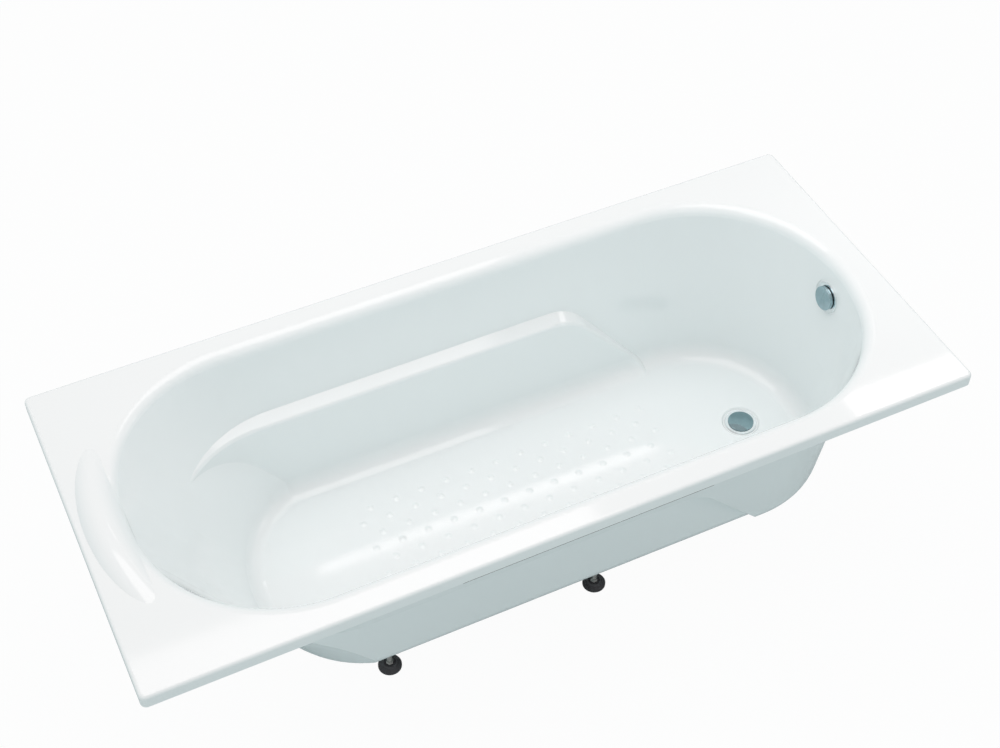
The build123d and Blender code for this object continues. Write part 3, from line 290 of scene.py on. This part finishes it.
def enamel():
    p = settings().enamel
    made = Shader("enamel")
    made.mottle(made.noise(3.0, detail=2.0), p.colour, dark=0.993, light=1.0)
    low, high = p.roughness * (1.0 - GLOSS_SPREAD), p.roughness * (1.0 + GLOSS_SPREAD)
    made.gloss(made.noise(9.0, detail=4.0), low, high)
    made.set("IOR", 1.52)
    made.set("Coat Weight", 0.35)
    made.set("Coat Roughness", 0.04)
    made.relief(made.noise(85.0, detail=2.0, roughness=0.4), p.peel, depth=0.0004)


def plated(name, tint):
    """chrome plate, with faint streaks where it was buffed"""
    made = Shader(name, metallic=1.0)
    made.mottle(made.noise(60.0), tint, dark=0.93, light=1.04)
    streaks = made.noise(240.0, detail=4.0, roughness=0.6, stretch=(1.0, 1.0, 6.0))
    made.gloss(streaks, low=0.05, high=0.17)
    made.relief(made.noise(420.0, detail=2.0), strength=0.05, depth=0.0002)


def chromes():
    """chrome of knob and plug, darkened and tinted teal as painted reflection, and bright chrome of
    the rings round them
    """
    for name in ("knob_chrome", "plug_chrome", "ring_chrome"):
        plated(name, getattr(settings().metal, name))


def stainless():
    made = Shader("stainless_steel", metallic=1.0)
    made.mottle(made.noise(90.0), settings().metal.stainless, dark=0.88, light=1.05)
    grain = (1.0, 8.0, 8.0)
    made.gloss(made.noise(300.0, detail=4.0, roughness=0.6, stretch=grain), low=0.24, high=0.42)
    scratches = made.noise(500.0, roughness=0.6, stretch=grain)
    made.relief(scratches, strength=0.12, depth=0.0002)


def zinc_plate():
    made = Shader("zinc_plate", metallic=1.0)
    made.mottle(made.noise(55.0, detail=4.0), settings().metal.zinc, dark=0.82, light=1.08)
    made.gloss(made.noise(120.0, detail=4.0), low=0.25, high=0.45)
    made.relief(made.noise(700.0, detail=2.0), strength=0.1, depth=0.0002)


def zinc_thread():
    """zinc plate with a screw thread, as a bump in bands along Z"""
    p = settings().metal
    made = Shader("zinc_thread", metallic=1.0)
    made.mottle(made.noise(55.0, detail=4.0), p.zinc, dark=0.72, light=1.0)
    made.gloss(made.noise(120.0, detail=4.0), low=0.3, high=0.5)
    wave = made.node("ShaderNodeTexWave", bands_direction="Z", wave_profile="TRI")
    wave.inputs["Scale"].default_value = WAVE_SPAN / p.thread_pitch
    wave.inputs["Distortion"].default_value = 0.4
    wave.inputs["Detail"].default_value = 0.0
    made.join(made.place, wave.inputs["Vector"])
    made.relief(wave.outputs["Fac"], strength=0.85, depth=0.0009)


def galvanised():
    made = Shader("galvanised_sheet", metallic=0.9)
    spangle = made.cells(95.0).outputs["Color"]
    tint = settings().metal.galvanised
    made.mottle(spangle, tint, dark=0.80, light=1.12, start=0.1, end=0.9)
    made.gloss(spangle, low=0.32, high=0.55)
    made.relief(made.noise(260.0), strength=0.12, depth=0.0003)


def moulded(name, colour, low, high, grain):
    """moulded plastic with a fine spark-eroded grain"""
    made = Shader(name)
    made.mottle(made.noise(22.0), colour, dark=0.94, light=1.03)
    made.gloss(made.noise(150.0, detail=4.0), low, high)
    made.set("IOR", 1.49)
    made.relief(made.noise(1400.0, detail=2.0), grain, depth=0.0002)


def plastics():
    p = settings().plastic
    moulded("white_polypropylene", p.white, low=0.30, high=0.44, grain=0.10)
    moulded("grey_acetal", p.grey, low=0.28, high=0.42, grain=0.12)
    moulded("black_nylon", p.black, low=0.42, high=0.60, grain=0.25)


def rubber():
    made = Shader("gasket_rubber")
    made.mottle(made.noise(45.0, detail=4.0), settings().plastic.rubber, dark=0.8, light=1.5)
    made.gloss(made.noise(130.0), low=0.55, high=0.75)
    made.relief(made.noise(900.0), strength=0.2, depth=0.0003)


def bitumen():
    made = Shader("bitumen_sheet")
    patches = made.noise(70.0, detail=6.0, roughness=0.7)
    made.mottle(patches, settings().plastic.bitumen, dark=0.6, light=1.9)
    made.gloss(made.noise(35.0, detail=4.0), low=0.55, high=0.85)
    made.relief(made.cells(320.0).outputs["Distance"], strength=0.35, depth=0.0012)


def adhesive():
    made = Shader("cured_adhesive")
    patches = made.noise(40.0, detail=5.0, roughness=0.6)
    made.mottle(patches, settings().plastic.adhesive, dark=0.85, light=1.08)
    made.gloss(made.noise(60.0, detail=4.0), low=0.45, high=0.7)
    made.relief(made.noise(110.0, detail=4.0), strength=0.4, depth=0.0015)


def dress(material, *names):
    """gives CAD nodes one finish"""
    for name in names:
        slots = NODES[name].data.materials
        slots.clear()
        slots.append(bpy.data.materials[material])


def starting(*prefixes):
    return [n for n in NODES if n.startswith(prefixes)]


def new_piece(name, mesh, body, material):
    made = bpy.data.objects.new(name, mesh)
    bpy.context.scene.collection.objects.link(made)
    mesh.materials.append(bpy.data.materials[material])
    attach(made, body)
    return made


def floor_under(x, y):
    """point of the basin's floor below a place, and its normal"""
    shell = NODES["bath_shell"]
    low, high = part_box("bath_shell")
    start = Vector((x, y, high.z - SEARCH_DROP))
    found, place, normal, _ = shell.ray_cast(start, Vector((0, 0, -1)))
    if not found:
        raise RuntimeError(f"no floor under {x:.3f}, {y:.3f}")
    return place, normal


def blend(tree, factor, start, end, low, high):
    """colour that goes from low to high while the factor goes from start to end"""
    span = tree.nodes.new("ShaderNodeMapRange")
    span.inputs["From Min"].default_value = start
    span.inputs["From Max"].default_value = end
    tree.links.new(factor, span.inputs["Value"])
    made = tree.nodes.new("ShaderNodeMix")
    made.data_type = "RGBA"
    tree.links.new(span.outputs["Result"], made.inputs["Factor"])
    for socket, colour in ((made.inputs[MIX_LOW], low), (made.inputs[MIX_HIGH], high)):
        if isinstance(colour, bpy.types.NodeSocket):
            tree.links.new(colour, socket)
        else:
            socket.default_value = colour
    return made.outputs[MIX_RESULT]


def show_camera(tree, share, plain, shown, output):
    """mixes in a second shader, which only the camera sees"""
    mix = tree.nodes.new("ShaderNodeMixShader")
    tree.links.new(share, mix.inputs["Fac"])
    tree.links.new(plain, mix.inputs[1])
    tree.links.new(shown, mix.inputs[2])
    tree.links.new(mix.outputs["Shader"], tree.nodes[output].inputs["Surface"])


class BATH_OT_camera(bpy.types.Operator):
    """Set the camera at the photograph's viewing angle"""

    bl_idname = "bath.camera"
    bl_label = "Camera"

    def execute(self, context):
        p = settings().stage
        data = bpy.data.cameras.new("view")
        data.sensor_width = SENSOR_WIDTH
        data.lens = p.focal
        data.clip_start = CLIP_START
        data.clip_end = CLIP_END
        camera = bpy.data.objects.new("view", data)
        bpy.context.scene.collection.objects.link(camera)
        camera.location = p.camera_place
        camera.rotation_euler = Euler((math.pi / 2 - p.camera_fall, 0.0, -p.camera_turn))
        bpy.context.scene.camera = camera
        bpy.context.scene.view_settings.view_transform = "Standard"
        return {"FINISHED"}


class BATH_OT_materials(bpy.types.Operator):
    """Make the finishes that the fittings share"""

    bl_idname = "bath.materials"
    bl_label = "Shared finishes"

    def execute(self, context):
        for make in (chromes, stainless, zinc_plate, zinc_thread, galvanised, plastics, rubber,
                     bitumen, adhesive):
            make()
        return {"FINISHED"}


class BATH_OT_shell(bpy.types.Operator):
    """Give the pressed shell its enamel"""

    bl_idname = "bath.shell"
    bl_label = "Enamelled shell"

    def execute(self, context):
        enamel()
        dress("enamel", "bath_shell")
        return {"FINISHED"}


class BATH_OT_studs(bpy.types.Operator):
    """Raise the rows of anti-slip studs on the basin's floor"""

    bl_idname = "bath.studs"
    bl_label = "Anti-slip studs"

    def execute(self, context):
        p = settings().studs
        work = bmesh.new()
        for row in range(-p.rows_near, p.rows_far + 1):
            offset = p.pitch / 2 if row % 2 else 0.0
            for k in range(p.count):
                x = p.first + offset + k * p.pitch
                y = p.line + row * p.row_pitch
                self.add_stud(work, x, y, p.radius, p.height)
        mesh = bpy.data.meshes.new("antislip_studs")
        work.to_mesh(mesh)
        work.free()
        for face in mesh.polygons:
            face.use_smooth = True
        new_piece("antislip_studs", mesh, "bath", "enamel")
        return {"FINISHED"}

    @staticmethod
    def add_stud(work, x, y, radius, height):
        """round dome whose edge runs out flat into the floor"""
        place, normal = floor_under(x, y)
        loops = []
        for i in range(1, STUD_RINGS + 1):
            t = i / STUD_RINGS
            rise = height * (0.5 + 0.5 * math.cos(math.pi * t)) - STUD_SINK
            loop = []
            for j in range(STUD_SIDES):
                a = 2 * math.pi * j / STUD_SIDES
                spot = Vector((radius * t * math.cos(a), radius * t * math.sin(a), 0))
                spot.z = rise - (normal.x * spot.x + normal.y * spot.y) / normal.z
                loop.append(work.verts.new(place + spot))
            loops.append(loop)
        top = work.verts.new(place + Vector((0, 0, height)))
        for j in range(STUD_SIDES):
            k = (j + 1) % STUD_SIDES
            work.faces.new((top, loops[0][j], loops[0][k]))
            for inner, outer in zip(loops, loops[1:]):
                work.faces.new((inner[j], outer[j], outer[k], inner[k]))


class BATH_OT_drain(bpy.types.Operator):
    """Finish the drain flange, the plug and the waste below them"""

    bl_idname = "bath.drain"
    bl_label = "Drain and waste"

    def execute(self, context):
        # the plug's cap gets chrome darkened and tinted teal as painted reflection
        dress("plug_chrome", "plug_cap")
        dress("ring_chrome", "drain_flange")
        dress("stainless_steel", "plug_stem", "plug_stem_nut", "rocker_pin")
        dress("white_polypropylene", "waste_body")
        dress("grey_acetal", "rocker")
        dress("gasket_rubber", "plug_seal", "drain_gasket_upper", "drain_gasket_lower")
        return {"FINISHED"}


class BATH_OT_overflow(bpy.types.Operator):
    """Finish the rotary overflow, its pipe and its pull cable"""

    bl_idname = "bath.overflow"
    bl_label = "Overflow"

    def execute(self, context):
        # the knob gets chrome darkened and tinted teal as painted reflection
        dress("knob_chrome", "knob")
        dress("ring_chrome", "overflow_bezel")
        dress("stainless_steel", "bezel_screws", "knob_crank")
        dress("white_polypropylene", "overflow_body", "overflow_pipe", "pipe_nuts")
        dress("grey_acetal", "bowden_cable", "cable_glands")
        dress("gasket_rubber", "overflow_gasket", "pipe_seals")
        return {"FINISHED"}


class BATH_OT_trap(bpy.types.Operator):
    """Finish the trap"""

    bl_idname = "bath.trap"
    bl_label = "Trap"

    def execute(self, context):
        dress("white_polypropylene", "trap_bend", "trap_inlet_nut", "trap_outlet_nut",
              "trap_tail", "trap_cleaning_plug")
        dress("gasket_rubber", "trap_inlet_seal", "trap_outlet_seal")
        return {"FINISHED"}


class BATH_OT_support(bpy.types.Operator):
    """Finish the rails, brackets, feet, mats and earthing lug"""

    bl_idname = "bath.support"
    bl_label = "Support and mats"

    def execute(self, context):
        dress("galvanised_sheet", *starting("cross_rail", "bracket"))
        dress("cured_adhesive", *starting("bond_pad"))
        dress("zinc_thread", *starting("foot_stud"))
        dress("black_nylon", *starting("foot_pad"))
        dress("zinc_plate", "rail_bolts", "rail_nuts", "foot_carrier_nuts", "foot_jam_nuts")
        dress("bitumen_sheet", *starting("floor_mat", "side_mat"))
        dress("stainless_steel", "earth_lug", "earth_screw")
        return {"FINISHED"}


class BATH_OT_stage(bpy.types.Operator):
    """Lay the pale floor and set the soft light"""

    bl_idname = "bath.stage"
    bl_label = "Stage"

    def execute(self, context):
        p = settings().stage
        self.floor(p)
        self.sky(p)
        big, small = (p.lamp_size, p.lamp_size), (p.foot_size, p.foot_size)
        strip = (p.strip_length, p.strip_width)
        self.lamp("overhead", p.lamp_power, big, p.lamp_place, p.lamp_colour)
        self.lamp("foot end", p.foot_power, small, p.foot_place, p.lamp_colour)
        self.lamp("strip", p.strip_power, strip, p.strip_place, p.lamp_colour)
        return {"FINISHED"}

    @staticmethod
    def floor(p):
        """pale matt floor, nearly white to the camera"""
        half = p.floor_size / 2
        mesh = bpy.data.meshes.new("floor")
        corners = [(-half, -half, 0), (half, -half, 0), (half, half, 0), (-half, half, 0)]
        mesh.from_pydata(corners, [], [(0, 1, 2, 3)])
        floor = bpy.data.objects.new("floor", mesh)
        bpy.context.scene.collection.objects.link(floor)
        made = Shader("pale_floor")
        made.mottle(made.noise(1.5), p.floor_colour, dark=0.99, light=1.0)
        made.set("Roughness", 0.9)
        rays = made.node("ShaderNodeLightPath")
        glow = made.node("ShaderNodeEmission")
        glow.inputs["Color"].default_value = WHITE
        share = made.node("ShaderNodeMath", operation="MULTIPLY")
        share.inputs[1].default_value = p.floor_white
        made.join(rays.outputs["Is Camera Ray"], share.inputs[0])
        show_camera(made.tree, share.outputs["Value"], made.surface.outputs["BSDF"],
                    glow.outputs["Emission"], "Material Output")
        mesh.materials.append(made.material)

    @staticmethod
    def sky(p):
        """light from above, cooler and darker towards the horizon and the foot end, and plain
        white to the camera"""
        world = bpy.data.worlds.new("studio")
        bpy.context.scene.world = world
        world.use_nodes = True
        tree = world.node_tree
        background = tree.nodes["Background"]
        place = tree.nodes.new("ShaderNodeTexCoord")
        split = tree.nodes.new("ShaderNodeSeparateXYZ")
        tree.links.new(place.outputs["Generated"], split.inputs["Vector"])
        horizon = blend(tree, split.outputs["X"], -1.0, 1.0, p.horizon_head, p.horizon_foot)
        light = blend(tree, split.outputs["Z"], 0.0, p.sky_height, horizon, p.sky)
        tree.links.new(light, background.inputs["Color"])
        rays = tree.nodes.new("ShaderNodeLightPath")
        white = tree.nodes.new("ShaderNodeBackground")
        white.inputs["Color"].default_value = WHITE
        show_camera(tree, rays.outputs["Is Camera Ray"], background.outputs["Background"],
                    white.outputs["Background"], "World Output")

    @staticmethod
    def lamp(name, power, size, place, colour):
        """rectangular lamp turned to the basin's floor"""
        light = bpy.data.lights.new(name, "AREA")
        light.energy = power
        light.shape = "RECTANGLE"
        light.size, light.size_y = size
        light.color = colour[:3]
        lamp = bpy.data.objects.new(name, light)
        bpy.context.scene.collection.objects.link(lamp)
        lamp.location = place
        low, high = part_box("bath_shell")
        towards = Vector((place[0], (low.y + high.y) / 2, low.z)) - Vector(place)
        lamp.rotation_euler = towards.to_track_quat("-Z", "Y").to_euler()


class BathFinish(bpy.types.PropertyGroup):
    """All sizes and colours that can be changed."""

    enamel: PointerProperty(type=EnamelSettings)
    studs: PointerProperty(type=StudSettings)
    metal: PointerProperty(type=MetalSettings)
    plastic: PointerProperty(type=PlasticSettings)
    stage: PointerProperty(type=StageSettings)


STEPS = (BATH_OT_camera, BATH_OT_materials, BATH_OT_shell, BATH_OT_studs, BATH_OT_drain,
         BATH_OT_overflow, BATH_OT_trap, BATH_OT_support, BATH_OT_stage)


class BATH_PT_finish(bpy.types.Panel):
    """Steps that finish the bath"""

    bl_idname = "BATH_PT_finish"
    bl_label = "Bath finish"
    bl_space_type = "VIEW_3D"
    bl_region_type = "UI"
    bl_category = "Bath"

    def draw(self, context):
        column = self.layout.column()
        for step in STEPS:
            column.operator(step.bl_idname)
        finish = context.scene.bath_finish
        for group in (finish.enamel, finish.studs, finish.metal, finish.plastic, finish.stage):
            box = self.layout.box()
            for key in group.__annotations__:
                box.prop(group, key)


CLASSES = (EnamelSettings, StudSettings, MetalSettings, PlasticSettings, StageSettings,
           BathFinish, *STEPS, BATH_PT_finish)


def register():
    for cls in CLASSES:
        bpy.utils.register_class(cls)
    bpy.types.Scene.bath_finish = PointerProperty(type=BathFinish)


def unregister():
    del bpy.types.Scene.bath_finish
    for cls in reversed(CLASSES):
        bpy.utils.unregister_class(cls)


def corners(bounds):
    low, high = bounds
    return [[round(c, 6) for c in low], [round(c, 6) for c in high]]


def main():
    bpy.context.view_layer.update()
    register()
    for step in STEPS:
        group, name = step.bl_idname.split(".")
        getattr(getattr(bpy.ops, group), name)()


if __name__ == "__main__":
    main()
